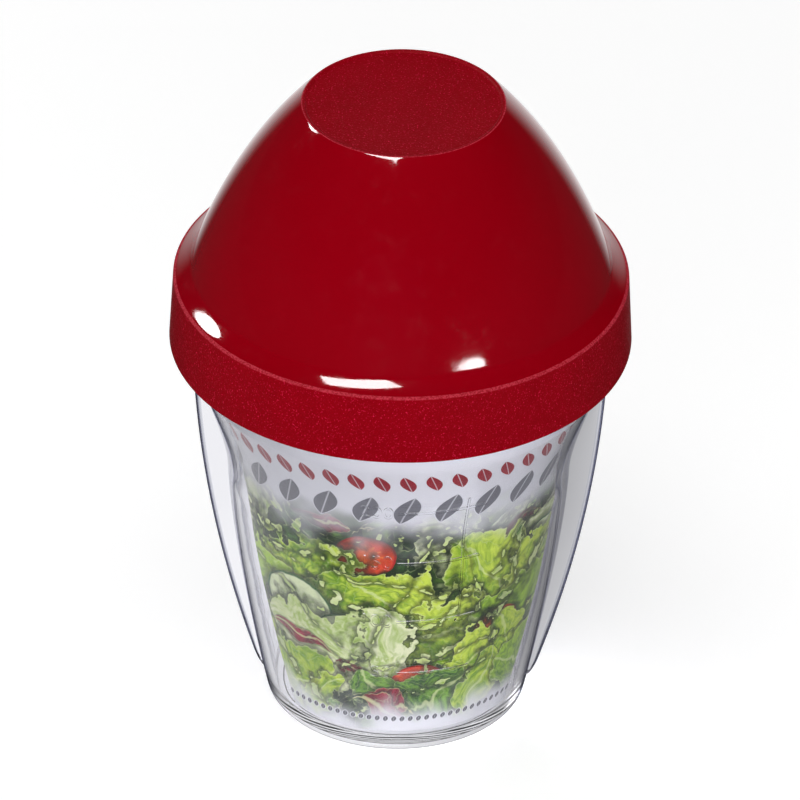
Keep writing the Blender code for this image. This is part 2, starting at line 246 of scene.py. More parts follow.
def cup_body():
    """The cup's body with its two fins, before the thread and the scale."""
    outline = cup_outline()
    corner_turns = [math.radians(90 * i / fin_corner_steps) for i in range(fin_corner_steps + 1)]
    fin_heights = [fin_foot_height + fin_corner * (1 - math.cos(turn)) for turn in corner_turns]
    low_wall = [p for p in outline if p.y < fin_heights[0]]
    body = [p for p in outline if fin_heights[-1] < p.y <= fin_top_height]
    corner_wall = [Vector((radius_at(outline, height), height)) for height in fin_heights]
    top_ring = Vector((radius_at(outline, fin_top_height), fin_top_height))
    under = rounded(
        (0, foot_recess, 0),
        (foot_inner_radius, foot_recess, foot_rounding),
        (foot_inner_radius, 0, foot_rounding),
        (foot_outer_radius, 0, 0),
    )
    foot_pull = Vector((body_foot_radius - foot_rounding, foot_rounding))
    foot_edge = bend(under[-1], foot_pull, outline[0], steps=foot_edge_steps)
    inside_top = neck_height - ledge_depth
    rim = rounded(
        (neck_radius, neck_height, 0),
        (neck_radius, rim_height, rim_edge),
        (neck_inner_radius, rim_height, rim_edge),
        (neck_inner_radius, neck_height, ledge_rounding),
        (ledge_radius, neck_height, ledge_rounding),
        (ledge_radius, inside_top, 0),
    )
    inside_low = floor_height + floor_corner
    inner = [Vector((p.x - wall, p.y)) for p in reversed(outline) if inside_low < p.y < inside_top]
    corner_top = Vector((radius_at(outline, inside_low) - wall, inside_low))
    corner_pull = Vector((radius_at(outline, floor_height) - wall, floor_height))
    corner_end = Vector((corner_pull.x - floor_corner, floor_height))
    inner += [corner_top, *bend(corner_top, corner_pull, corner_end, steps=floor_corner_steps)]
    inner.append(Vector((0, floor_height)))
    profile = under + foot_edge[:-1] + low_wall + corner_wall + body + [top_ring] + rim + inner

    fin_turn = fin_thickness / waist_radius
    half_turn = [(fin_turn, fin_columns), (math.pi - fin_turn, half_turn_steps)]
    cup = turned(profile, *half_turn, *half_turn)
    for side in (-1, 1):
        strip = []
        for face in cup.faces:
            centre = face.calc_center_median()
            outside = face.normal.x * side > 0.5 and centre.x * side > radius_at(outline, centre.z) - wall / 2
            if outside and abs(centre.y) < fin_thickness / 2 and fin_foot_height < centre.z < fin_top_height:
                strip.append(face)
        for vert in {v for face in strip for v in face.verts}:
            strip_half_width = vert.co.xy.length * math.sin(fin_turn / 2)
            vert.co.y *= fin_thickness / 2 / strip_half_width
        grown = bmesh.ops.extrude_face_region(cup, geom=strip)
        bmesh.ops.delete(cup, geom=strip, context="FACES")
        for part in grown["geom"]:
            if isinstance(part, bmesh.types.BMVert):
                reach = fin_reach(outline, part.co.z)
                rounding = min(fin_thickness / 2, (reach - radius_at(outline, part.co.z)) / 2)
                round_turn = part.co.y / fin_thickness * math.pi
                part.co.y = math.sin(round_turn) * fin_thickness / 2
                part.co.x = side * (reach - rounding * (1 - math.cos(round_turn)))
            elif isinstance(part, bmesh.types.BMFace):
                part.material_index = 1
    bmesh.ops.recalc_face_normals(cup, faces=cup.faces)
    return cup


number_height = 0.0034
digit_share_of_type = 0.7
number_gap = 0.0008
mark_depth, mark_sink = 0.0004, 0.0002
line_height = 0.0005
line_start, line_end = math.radians(2), math.radians(30)
line_segments, stem_segments = 14, 24
scale_levels = {50: 0.0235, 100: 0.0385, 150: 0.0545, 200: 0.069}
stem_angle = math.radians(24)
stem_bottom, stem_top = 0.0395, 0.072
stem_width = 0.0004
arrow_width, arrow_height = 0.0022, 0.0016


def on_wall(across, height, depth):
    """A point on the cup's front wall, at a distance round it from its middle and a depth in front of it."""
    radius = radius_at(cup_outline(), height)
    angle = across / radius - math.pi / 2
    return Vector((math.cos(angle), math.sin(angle), 0)) * (radius + depth) + Vector((0, 0, height))


def raised_mark(marks, flat, middle, height, width, tall, turn=0.0):
    """Raises flat faces of unit size on the wall. A turn keeps the mark at one angle as the wall widens."""
    faces = list(dict.fromkeys(face for vert in flat for face in vert.link_faces))
    grown = bmesh.ops.extrude_face_region(marks, geom=faces, use_keep_orig=True)["geom"]
    top = {part for part in grown if isinstance(part, bmesh.types.BMVert)}
    for vert in [*flat, *top]:
        level = height + vert.co.y * tall
        across = middle + turn * radius_at(cup_outline(), level) + vert.co.x * width
        vert.co = on_wall(across, level, mark_depth if vert in top else -mark_sink)


def scale_marks():
    """The raised graduations: a line and a plain number for each 50 ml."""
    marks = bmesh.new()
    for volume, height in scale_levels.items():
        radius = radius_at(cup_outline(), height)
        bar = bmesh.ops.create_grid(marks, x_segments=line_segments, y_segments=1, size=0.5)["verts"]
        middle, width = (line_start + line_end) / 2 * radius, (line_end - line_start) * radius
        raised_mark(marks, bar, middle, height, width, line_height)

        letters = bpy.data.curves.new("number", "FONT")
        letters.body = str(volume)
        letters.size = number_height / digit_share_of_type
        letters.extrude = (mark_depth + mark_sink) / 2
        letters.align_x = "RIGHT"
        letters.align_y = "CENTER"
        shape = placed("number", letters)
        mesh = made_mesh(shape)
        for vert in mesh.vertices:
            flat = vert.co.copy()
            depth = flat.z + (mark_depth - mark_sink) / 2
            vert.co = on_wall(flat.x + line_start * radius - number_gap, height + flat.y, depth)
        marks.from_mesh(mesh)
        bpy.data.objects.remove(shape)
        bpy.data.meshes.remove(mesh)
    bmesh.ops.remove_doubles(marks, verts=marks.verts, dist=weld_distance)
    bmesh.ops.recalc_face_normals(marks, faces=marks.faces)
    return marks


def scale_stem():
    """The upright line that ties the graduations, and the small arrow at its foot."""
    marks = bmesh.new()
    stem = bmesh.ops.create_grid(marks, x_segments=1, y_segments=stem_segments, size=0.5)["verts"]
    raised_mark(marks, stem, 0, (stem_bottom + stem_top) / 2, stem_width, stem_top - stem_bottom, stem_angle)
    arrow = bmesh.ops.create_circle(marks, segments=3, radius=0.5, cap_ends=True)["verts"]
    raised_mark(marks, arrow, 0, stem_bottom - arrow_height, arrow_width, arrow_height, stem_angle)
    bmesh.ops.recalc_face_normals(marks, faces=marks.faces)
    return marks


def node(tree, kind, inputs=(), **settings):
    """Adds a shader node. Each input gets its value, or a link where the value is another node's socket."""
    made = tree.nodes.new(kind)
    for name, value in settings.items():
        setattr(made, name, value)
    for name, value in dict(inputs).items():
        if isinstance(value, bpy.types.NodeSocket):
            tree.links.new(value, made.inputs[name])
        else:
            made.inputs[name].default_value = value
    return made


def calc(tree, operation, *values):
    """One step of arithmetic on numbers or sockets, and the socket of its result."""
    return node(tree, "ShaderNodeMath", dict(enumerate(values)), operation=operation).outputs[0]


def between(tree, value, low, high, out_low=0.0, out_high=1.0):
    """A value taken smoothly from one range to another."""
    inputs = {"Value": value, "From Min": low, "From Max": high, "To Min": out_low, "To Max": out_high}
    made = node(tree, "ShaderNodeMapRange", inputs, interpolation_type="SMOOTHSTEP", clamp=False)
    return made.outputs["Result"]


def mixed(tree, share, one, other):
    """A mix of two colours, with this share of the second."""
    return node(tree, "ShaderNodeMix", {0: share, 6: one, 7: other}, data_type="RGBA").outputs[2]


def noise(tree, place, scale, detail, roughness=0.5):
    """Soft random shades from 0 to 1 over a place."""
    inputs = {"Vector": place, "Scale": scale, "Detail": detail, "Roughness": roughness}
    return node(tree, "ShaderNodeTexNoise", inputs).outputs["Fac"]


def tone(red, green, blue):
    """A colour from its 0 to 255 screen values."""
    return (*[(value / 255) ** 2.2 for value in (red, green, blue)], 1)


def finish(name, **values):
    """A new material with its node tree, its shader and the place of each point on the part."""
    material = bpy.data.materials.new(name)
    material.use_nodes = True
    tree = material.node_tree
    surface = tree.nodes["Principled BSDF"]
    for socket, value in values.items():
        surface.inputs[socket.replace("_", " ")].default_value = value
    place = node(tree, "ShaderNodeTexCoord").outputs["Object"]
    return material, tree, surface, place


def surfaced(tree, surface, colour, roughness, height, strength, distance):
    """Gives a material its colour, its roughness and the fine relief of a height."""
    relief = node(tree, "ShaderNodeBump", {"Strength": strength, "Distance": distance, "Height": height})
    tree.links.new(colour, surface.inputs["Base Color"])
    tree.links.new(roughness, surface.inputs["Roughness"])
    tree.links.new(relief.outputs["Normal"], surface.inputs["Normal"])


def clear_finish(name, middle, edge, edge_start, edge_end):
    """Clear plastic that lets lamp light through, with painted shade where it is seen at a glancing angle."""
    material, tree, surface, place = finish(name, Transmission_Weight=1.0, IOR=1.57)
    facing = node(tree, "ShaderNodeLayerWeight", {"Blend": 0.5}).outputs["Facing"]
    # The edge colour is painted shade, standing in for the dark lines that the clear wall shows at glancing
    # angles.
    tint_and_glancing_shade = mixed(tree, between(tree, facing, edge_start, edge_end), middle, edge)
    haze = between(tree, noise(tree, place, 420, 5), 0.6, 0.85, 0.0, 0.02)
    surfaced(tree, surface, tint_and_glancing_shade, haze, noise(tree, place, 70, 2), 0.04, 0.001)
    through = node(tree, "ShaderNodeBsdfTransparent", {"Color": tone(252, 252, 254)})
    lamp_ray = node(tree, "ShaderNodeLightPath").outputs["Is Shadow Ray"]
    shaders = {0: lamp_ray, 1: surface.outputs[0], 2: through.outputs[0]}
    clear_shader = node(tree, "ShaderNodeMixShader", shaders)
    tree.links.new(clear_shader.outputs[0], tree.nodes["Material Output"].inputs["Surface"])
    return material


# Both clear finishes paint shade at glancing angles; the second, on the fins' faces, paints it over a much
# wider range of angles.
clear_plastic = clear_finish("clear_plastic", tone(249, 249, 254), tone(50, 52, 80), 0.7, 0.9)
clear_edge = clear_finish("clear_edge", tone(240, 241, 250), tone(58, 60, 84), 0.03, 0.45)

cup = piece("clear_cup", cup_body(), clear_plastic, clear_edge)
moulded_on(
    cup,
    piece("neck_thread", thread_ribs(neck_radius, thread_crest_radius, neck_height + thread_run_in)),
    piece("scale", scale_marks()),
    piece("scale_stem", scale_stem()),
)
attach(cup, "cup")
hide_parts("cup")

# Paper insert: a sheet of coated paper, cut narrower at its foot, that is rolled up and springs out against
# the inside of the cup's front wall. Its outer side is printed with leaves and vegetables that fade to white.
paper_thickness = 0.00025
paper_gap = 0.00035
paper_lift = 0.0018
paper_top_drop = 0.0018
paper_centre = math.radians(5)
paper_top_half = math.radians(73)
paper_bottom_half = math.radians(54)
paper_columns, paper_rows = 96, 54
millimetres = 1000

paper_bottom = floor_height + paper_lift
paper_top = neck_height - paper_top_drop


def on_sheet(flat):
    """The turn from the sheet's middle and the height of a point on the unit square that it is bent from."""
    up = flat.y + 0.5
    half = paper_bottom_half + (paper_top_half - paper_bottom_half) * up
    return half * (2 * (flat.x + 0.5) - 1), paper_bottom + (paper_top - paper_bottom) * up


def paper_sheet():
    """The curved sheet with its thickness, and its print laid out in millimetres in its UV map."""
    outline = cup_outline()
    sheet = bmesh.new()
    bmesh.ops.create_grid(sheet, x_segments=paper_columns, y_segments=paper_rows, size=0.5)
    layout = sheet.loops.layers.uv.new("print")
    for face in sheet.faces:
        for loop in face.loops:
            turn, height = on_sheet(loop.vert.co)
            loop[layout].uv = (turn * waist_radius * millimetres, height * millimetres)
    for vert in sheet.verts:
        turn, height = on_sheet(vert.co)
        angle = paper_centre + turn - math.pi / 2
        radius = min(radius_at(outline, height) - wall, ledge_radius) - paper_gap
        vert.co = Vector((radius * math.cos(angle), radius * math.sin(angle), height))
    grown = bmesh.ops.extrude_face_region(sheet, geom=list(sheet.faces), use_keep_orig=True)
    for part in grown["geom"]:
        if isinstance(part, bmesh.types.BMVert):
            part.co.xy *= 1 - paper_thickness / part.co.xy.length
        elif isinstance(part, bmesh.types.BMFace):
            part.material_index = 1
    bmesh.ops.recalc_face_normals(sheet, faces=sheet.faces)
    return sheet


def group(name, **sockets):
    """A node group with its inputs by name and kind, and one colour as its output."""
    made = bpy.data.node_groups.new(name, "ShaderNodeTree")
    for socket, kind in sockets.items():
        made.interface.new_socket(socket, in_out="INPUT", socket_type=kind)
    made.interface.new_socket("Colour", in_out="OUTPUT", socket_type="NodeSocketColor")
    return made, made.nodes.new("NodeGroupInput").outputs, made.nodes.new("NodeGroupOutput").inputs


number, vector, colour = "NodeSocketFloat", "NodeSocketVector", "NodeSocketColor"
shade_green = tone(20, 38, 20)


def printed_leaf():
    """One leaf of the print, laid over what is under it: outline, shade under it, midrib, veins and folds."""
    leaf, given, result = group(
        "printed_leaf",
        Place=vector, Ripple=number, Fold=number, Centre=vector, Turn=number, Length=number, Width=number,
        Frill=number, Light=colour, Dark=colour, Under=colour,
    )
    offset = node(leaf, "ShaderNodeVectorMath", {0: given["Place"], 1: given["Centre"]}, operation="SUBTRACT")
    turned_place = {"Vector": offset.outputs[0], "Angle": given["Turn"]}
    laid = node(leaf, "ShaderNodeVectorRotate", turned_place, rotation_type="Z_AXIS", invert=True)
    axes = node(leaf, "ShaderNodeSeparateXYZ", {0: laid.outputs[0]}).outputs
    along = calc(leaf, "DIVIDE", calc(leaf, "MULTIPLY", axes[0], 2.0), given["Length"])
    along_squared = calc(leaf, "MULTIPLY", along, along)
    bow = calc(leaf, "MULTIPLY", given["Width"], 0.16)
    across = calc(leaf, "MULTIPLY_ADD", along_squared, bow, axes[1])
    side = calc(leaf, "ABSOLUTE", across)
    spread = calc(leaf, "DIVIDE", calc(leaf, "MULTIPLY", side, 2.0), given["Width"])
    frill = calc(leaf, "MULTIPLY_ADD", given["Ripple"], given["Frill"], spread)
    room = calc(leaf, "MAXIMUM", calc(leaf, "SUBTRACT", 1.0, along_squared), 0.0)
    lean = calc(leaf, "MULTIPLY_ADD", along, -0.3, 1.0)
    inside = calc(leaf, "SUBTRACT", calc(leaf, "MULTIPLY", calc(leaf, "POWER", room, 0.62), lean), frill)

    vein_place = calc(leaf, "MULTIPLY_ADD", side, -0.3, calc(leaf, "MULTIPLY", axes[0], 0.22))
    vein_gap = calc(leaf, "PINGPONG", calc(leaf, "MULTIPLY_ADD", given["Ripple"], 0.6, vein_place), 0.5)
    vein = between(leaf, vein_gap, 0.0, 0.07, 1.0, 0.0)
    rib_width = calc(leaf, "MULTIPLY_ADD", along, -0.25, 0.5)
    rib = between(leaf, side, calc(leaf, "MULTIPLY", rib_width, 0.3), rib_width, 1.0, 0.0)
    fold_depth = calc(leaf, "ADD", given["Frill"], 0.25)
    folded = calc(leaf, "MULTIPLY", calc(leaf, "SUBTRACT", given["Fold"], 0.5), fold_depth)
    puffed = calc(leaf, "MULTIPLY_ADD", vein_gap, 0.7, calc(leaf, "MULTIPLY_ADD", across, 0.035, 0.28))
    shade = calc(leaf, "MULTIPLY_ADD", spread, 0.12, calc(leaf, "MULTIPLY_ADD", folded, 0.8, puffed))
    body = mixed(leaf, shade, given["Dark"], given["Light"])
    pale = tone(226, 236, 170)
    body = mixed(leaf, calc(leaf, "MULTIPLY", vein, 0.28), body, pale)
    body = mixed(leaf, calc(leaf, "MULTIPLY", rib, 0.6), body, pale)
    body = mixed(leaf, between(leaf, inside, 0.02, 0.09, 0.5, 0.0), body, pale)
    under_shade = between(leaf, inside, -0.45, 0.02, 0.0, 0.75)
    shaded = mixed(leaf, under_shade, given["Under"], shade_green)
    leaf.links.new(mixed(leaf, between(leaf, inside, -0.01, 0.025), shaded, body), result["Colour"])
    return leaf


def printed_slice():
    """One round slice of the print: skin, flesh, a ring of seeds and its shade on what is under it."""
    cut, given, result = group(
        "printed_slice",
        Place=vector, Ripple=number, Fold=number, Centre=vector, Radius=number, Skin=colour, Flesh=colour,
        Seed=colour, Under=colour,
    )
    offset = node(cut, "ShaderNodeVectorMath", {0: given["Place"], 1: given["Centre"]}, operation="SUBTRACT")
    squashed = node(cut, "ShaderNodeVectorMath", {0: offset.outputs[0], 1: (1, 1.3, 1)}, operation="MULTIPLY")
    axes = node(cut, "ShaderNodeSeparateXYZ", {0: squashed.outputs[0]}).outputs
    far = node(cut, "ShaderNodeVectorMath", {0: squashed.outputs[0]}, operation="LENGTH").outputs["Value"]
    share = calc(cut, "MULTIPLY_ADD", given["Ripple"], 0.08, calc(cut, "DIVIDE", far, given["Radius"]))
    spokes = calc(cut, "COSINE", calc(cut, "MULTIPLY", calc(cut, "ARCTAN2", axes[1], axes[0]), 12.0))
    off_ring = calc(cut, "ABSOLUTE", calc(cut, "SUBTRACT", share, 0.48))
    seed_ring = between(cut, off_ring, 0.04, 0.15, 0.7, 0.0)
    seeds = calc(cut, "MULTIPLY", between(cut, spokes, 0.3, 0.9), seed_ring)
    core = calc(cut, "MULTIPLY_ADD", given["Fold"], 0.12, between(cut, share, 0.15, 0.75, 0.32, 0.0))
    flesh = mixed(cut, calc(cut, "MAXIMUM", core, seeds), given["Flesh"], given["Seed"])
    flesh = mixed(cut, between(cut, share, 0.9, 0.955), flesh, given["Skin"])
    shaded = mixed(cut, between(cut, share, 1.0, 1.3, 0.7, 0.0), given["Under"], shade_green)
    cut.links.new(mixed(cut, between(cut, share, 0.985, 1.0, 1.0, 0.0), shaded, flesh), result["Colour"])
    return cut


def laid_over(tree, kind, **inputs):
    """One motif of the print laid over what is under it, and the colour that results."""
    return node(tree, "ShaderNodeGroup", inputs, node_tree=kind).outputs[0]


def swayed(tree, place, scale, detail, reach):
    """A place pushed about by a noise, by up to half the reach in millimetres."""
    sway = node(tree, "ShaderNodeTexNoise", {"Vector": place, "Scale": scale, "Detail": detail}).outputs
    centred = node(tree, "ShaderNodeVectorMath", {0: sway["Color"], 1: (0.5, 0.5, 0.5)}, operation="SUBTRACT")
    push = node(tree, "ShaderNodeVectorMath", {0: centred.outputs[0], "Scale": reach}, operation="SCALE")
    return node(tree, "ShaderNodeVectorMath", {0: place, 1: push.outputs[0]}, operation="ADD").outputs[0]


printed_paper, tree, surface, place = finish("printed_paper", Roughness=0.5, IOR=1.4)
sheet_place = node(tree, "ShaderNodeUVMap", uv_map="print").outputs["UV"]
leaf_place = swayed(tree, swayed(tree, sheet_place, 0.06, 1, 16.0), 0.3, 2, 3.2)
ripple = calc(tree, "MULTIPLY", calc(tree, "SUBTRACT", noise(tree, sheet_place, 0.3, 3, 0.45), 0.5), 2.0)
folds = calc(tree, "MULTIPLY", noise(tree, leaf_place, 0.13, 3, 0.55), 7.0)
fold = calc(tree, "MULTIPLY", calc(tree, "PINGPONG", folds, 0.5), 2.0)
leaf_group, slice_group = printed_leaf(), printed_slice()
picture = mixed(tree, noise(tree, sheet_place, 0.22, 3), tone(24, 44, 26), tone(88, 122, 44))

draw = random.Random(7)
print_width, maroon_width, maroon_count = 88, 72, 2
shift_across, shift_up = 5, 4
bright = (tone(208, 228, 84), tone(112, 158, 26))
fresh = (tone(170, 208, 60), tone(74, 122, 26))
middle_green = (tone(128, 176, 62), tone(44, 86, 34))
deep = (tone(88, 134, 62), tone(22, 50, 28))
white_rib = (tone(236, 240, 196), tone(164, 192, 92))
maroon = (tone(168, 34, 62), tone(66, 6, 24))
leaf_rows = [
    (64, 6, 15, 0.5, (deep, middle_green, fresh)),
    (55, 6, 20, 0.7, (fresh, middle_green, deep, white_rib)),
    (45, 6, 25, 0.7, (bright, fresh, middle_green, deep)),
    (34, 5, 30, 0.8, (bright, bright, fresh, middle_green)),
    (24, 5, 27, 0.9, (fresh, bright, middle_green, white_rib)),
    (14, 6, 20, 0.9, (white_rib, bright, fresh, middle_green)),
]
cucumber = {"Skin": tone(38, 92, 40), "Flesh": tone(226, 236, 190), "Seed": tone(176, 204, 120)}
tomato = {"Skin": tone(176, 20, 24), "Flesh": tone(222, 66, 42), "Seed": tone(240, 150, 70)}
slices = {
    1: [(27, 57, 9.0, cucumber)],
    2: [(-9, 55, 7.0, tomato), (36, 47, 9.5, cucumber)],
    4: [(-27, 37, 10.0, cucumber), (-14, 31, 9.0, cucumber), (24, 31, 7.0, tomato)],
    5: [(4, 19, 7.5, tomato)],
}
for row, (height, count, length, frill, colours) in enumerate(leaf_rows):
    for across, up, radius, look in slices.get(row, ()):
        picture = laid_over(
            tree, slice_group, Place=sheet_place, Ripple=ripple, Fold=fold, Centre=(across, up, 0),
            Radius=radius, Under=picture, **look
        )
    for i in range(count):
        across = ((i + 0.5) / count - 0.5) * print_width + draw.uniform(-shift_across, shift_across)
        centre = (across, height + draw.uniform(-shift_up, shift_up), 0)
        size = length * draw.uniform(0.85, 1.3)
        light, dark = draw.choice(colours)
        picture = laid_over(
            tree, leaf_group, Place=leaf_place, Ripple=ripple, Fold=fold, Centre=centre,
            Turn=draw.uniform(0, 2 * math.pi), Length=size, Width=size * draw.uniform(0.5, 0.8),
            Frill=frill * draw.uniform(0.5, 1), Light=light, Dark=dark, Under=picture,
        )
    for i in range(maroon_count):
        across = draw.uniform(-maroon_width / 2, maroon_width / 2)
        centre = (across, height + draw.uniform(-shift_up, shift_up), 0)
        picture = laid_over(
            tree, leaf_group, Place=leaf_place, Ripple=ripple, Fold=fold, Centre=centre,
            Turn=draw.uniform(-0.6, 0.6), Length=draw.uniform(9, 15), Width=draw.uniform(3.5, 6),
            Frill=0.4, Light=maroon[0], Dark=maroon[1], Under=picture,
        )

paper_white = tone(242, 242, 245)
fade_swing = 22.0
low_fade_start, low_fade_end = 6.0, 16.0
top_fade_start, top_fade_end = 55.0, 69.0
print_across, print_up = node(tree, "ShaderNodeSeparateXYZ", {0: sheet_place}).outputs[:2]
swing = calc(tree, "MULTIPLY", noise(tree, sheet_place, 0.07, 2), fade_swing)
fade_height = calc(tree, "ADD", swing, calc(tree, "SUBTRACT", print_up, fade_swing / 2))
top_fade = between(tree, fade_height, top_fade_start, top_fade_end, 1.0, 0.0)
low_fade = between(tree, fade_height, low_fade_start, low_fade_end)
printed = mixed(tree, calc(tree, "MULTIPLY", top_fade, low_fade), paper_white, picture)


def motif_row(tree, under, height, tall, spacing, slant, colour, outline):
    """A row of small slanted leaf shapes in one colour, each with its outline, laid over what is under it."""
    cell = calc(tree, "WRAP", print_across, spacing / 2, -spacing / 2)
    rise = calc(tree, "SUBTRACT", print_up, height)
    along = calc(tree, "DIVIDE", rise, tall / 2)
    lean = calc(tree, "MULTIPLY_ADD", rise, -slant, cell)
    room = calc(tree, "SUBTRACT", 1.0, calc(tree, "MULTIPLY", along, along))
    inside = calc(tree, "SUBTRACT", calc(tree, "MULTIPLY", room, spacing * 0.3), calc(tree, "ABSOLUTE", lean))
    rib = between(tree, calc(tree, "ABSOLUTE", lean), 0.0, spacing * 0.035, 1.0, 0.0)
    drawn = mixed(tree, calc(tree, "MULTIPLY", rib, 0.75), colour, outline)
    edged = mixed(tree, between(tree, inside, -0.32, -0.22), under, outline)
    return mixed(tree, between(tree, inside, -0.05, 0.05), edged, drawn)


for height, tall, spacing, slant, colour, outline in (
    (69.0, 8.2, 8.6, 0.35, tone(122, 122, 128), tone(236, 236, 240)),
    (77.5, 4.8, 5.0, -0.35, tone(158, 16, 38), paper_white),
    (8.8, 1.7, 2.3, 0.2, tone(104, 104, 110), paper_white),
):
    printed = motif_row(tree, printed, height, tall, spacing, slant, colour, outline)
grain = noise(tree, sheet_place, 6, 3)
surfaced(tree, surface, printed, between(tree, grain, 0.3, 0.7, 0.42, 0.55), grain, 0.15, 0.00005)

paper_back, tree, surface, place = finish("paper_back", Roughness=0.6)
fibres = mixed(tree, noise(tree, place, 900, 4), tone(232, 232, 230), tone(246, 246, 246))
tree.links.new(fibres, surface.inputs["Base Color"])

paper = piece("printed_insert", paper_sheet(), printed_paper, paper_back)
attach(paper, "cup")
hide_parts("paper_insert")

# Mixing sieve: one moulding in white plastic that rests on the ledge in the cup's mouth. Rings and spokes
# leave rows of slots that break up lumps, the hoop round the edge centres it, and the knob lifts it out for
# washing.
fit_gap = 0.0003
sieve_plate = 0.0016
sieve_hub = 0.0055
sieve_bar = 0.0034
sieve_margin = 0.0003
sieve_slots = (4, 8, 8, 16, 16)
sieve_hoop_inset = 0.0015
sieve_hoop_wall = 0.0014
sieve_hoop_height = 0.0045
sieve_knob_height = 0.009
sieve_knob_taper = 0.8
slot_corner = 0.0007
sieve_edge = 0.00028
sieve_edge_turn = math.radians(50)
sieve_steps = 192


def runs_outward(edge):
    """Whether an edge of the flat plate leads away from its middle and not round it."""
    return round(abs(edge.verts[0].co.xy.length - edge.verts[1].co.xy.length), 5) > 0


def sieve_moulding():
    """The slotted plate with its hoop and its knob, with the slots' ends and all edges rounded."""
    hoop_radius = neck_inner_radius - sieve_hoop_inset
    hoop_bore = hoop_radius - sieve_hoop_wall
    pitch = (hoop_bore - sieve_margin - sieve_hub) / len(sieve_slots)
    knob_radius = sieve_hub - sieve_bar / 2
    slot_ends = [sieve_hub + pitch * (row + 1) for row in range(len(sieve_slots))]
    slot_starts = [end - pitch + sieve_bar for end in slot_ends]
    radii = sorted([knob_radius, *slot_starts, *slot_ends, hoop_bore, hoop_radius])
    bottom = neck_height + fit_gap
    plate = turned([Vector((radius, bottom)) for radius in (0, *radii)], (2 * math.pi, sieve_steps))
    cut = []
    for face in plate.faces:
        centre = face.calc_center_median()
        angle = math.atan2(centre.y, centre.x) % (2 * math.pi)
        for start, end, slots in zip(slot_starts, slot_ends, sieve_slots):
            spoke_half = sieve_bar / centre.xy.length / 2
            off_spoke = abs((angle + math.pi / slots) % (2 * math.pi / slots) - math.pi / slots)
            if start < centre.xy.length < end and off_spoke > spoke_half:
                cut.append(face)
    bmesh.ops.delete(plate, geom=cut, context="FACES")
    corners = []
    for vert in plate.verts:
        outward = {runs_outward(edge) for edge in vert.link_edges if edge.is_boundary}
        if len(outward) > 1 and vert.co.xy.length < hoop_bore:
            corners.append(vert)
    bmesh.ops.bevel(
        plate, geom=corners, offset=slot_corner, affect="VERTICES", segments=4, profile=0.5, material=-1
    )
    grown = bmesh.ops.extrude_face_region(plate, geom=list(plate.faces), use_keep_orig=True)
    lifted = [part for part in grown["geom"] if isinstance(part, bmesh.types.BMVert)]
    bmesh.ops.translate(plate, verts=lifted, vec=(0, 0, sieve_plate))
    for low, high, rise, taper in (
        (hoop_bore, hoop_radius, sieve_hoop_height - sieve_plate, 1),
        (0, knob_radius, sieve_knob_height - sieve_plate, sieve_knob_taper),
    ):
        raised = [
            face for face in plate.faces
            if abs(face.calc_center_median().z - bottom - sieve_plate) < weld_distance
            and low < face.calc_center_median().xy.length < high
        ]
        grown = bmesh.ops.extrude_face_region(plate, geom=raised)
        bmesh.ops.delete(plate, geom=raised, context="FACES")
        for part in grown["geom"]:
            if isinstance(part, bmesh.types.BMVert):
                part.co = Vector((part.co.x * taper, part.co.y * taper, part.co.z + rise))
    bmesh.ops.recalc_face_normals(plate, faces=plate.faces)
    edges = [edge for edge in plate.edges if edge.is_manifold and edge.calc_face_angle(0) > sieve_edge_turn]
    level = [edge for edge in edges if abs(edge.verts[0].co.z - edge.verts[1].co.z) < weld_distance]
    bmesh.ops.bevel(
        plate, geom=level, offset=sieve_edge, affect="EDGES", segments=3, profile=0.5, material=-1,
        clamp_overlap=True,
    )
    return plate


sieve_white, tree, surface, place = finish("sieve_white", Roughness=0.35, IOR=1.49)
flow = mixed(tree, noise(tree, place, 60, 3), tone(236, 236, 234), tone(246, 246, 246))
satin = noise(tree, place, 500, 4)
surfaced(tree, surface, flow, between(tree, satin, 0.35, 0.7, 0.28, 0.42), satin, 0.2, 0.00005)

sieve = piece("white_sieve", sieve_moulding(), sieve_white)
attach(sieve, "sieve")
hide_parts("mixing_sieve")

# Sealing ring: a flat ring of soft milky silicone, moulded with rounded edges. It lies on the cup's rim,
# under the lid, which presses it down as it is screwed tight.
seal_thickness = 0.0014
seal_setback = 0.0001
seal_rounding = 0.0005
seal_steps = 160
thread_side_gap = 0.0008

seal_bottom = rim_height + fit_gap
seal_inner_radius = neck_inner_radius + seal_setback
seal_outer_radius = thread_crest_radius + thread_side_gap - fit_gap
ring_section = rounded(
    (seal_inner_radius, seal_bottom, seal_rounding),
    (seal_outer_radius, seal_bottom, seal_rounding),
    (seal_outer_radius, seal_bottom + seal_thickness, seal_rounding),
    (seal_inner_radius, seal_bottom + seal_thickness, seal_rounding),
    (seal_inner_radius, seal_bottom, 0),
    steps=5,
)[:-1]

seal_silicone, tree, surface, place = finish("seal_silicone", Subsurface_Weight=0.3, Subsurface_Scale=0.001)
milk = mixed(tree, noise(tree, place, 120, 3), tone(218, 220, 222), tone(232, 233, 235))
dust = noise(tree, place, 900, 4)
surfaced(tree, surface, milk, between(tree, dust, 0.35, 0.75, 0.4, 0.6), dust, 0.2, 0.00005)

ring = piece("silicone_ring", turned(ring_section, (2 * math.pi, seal_steps), closed=True), seal_silicone)
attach(ring, "seal")
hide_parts("sealing_ring")

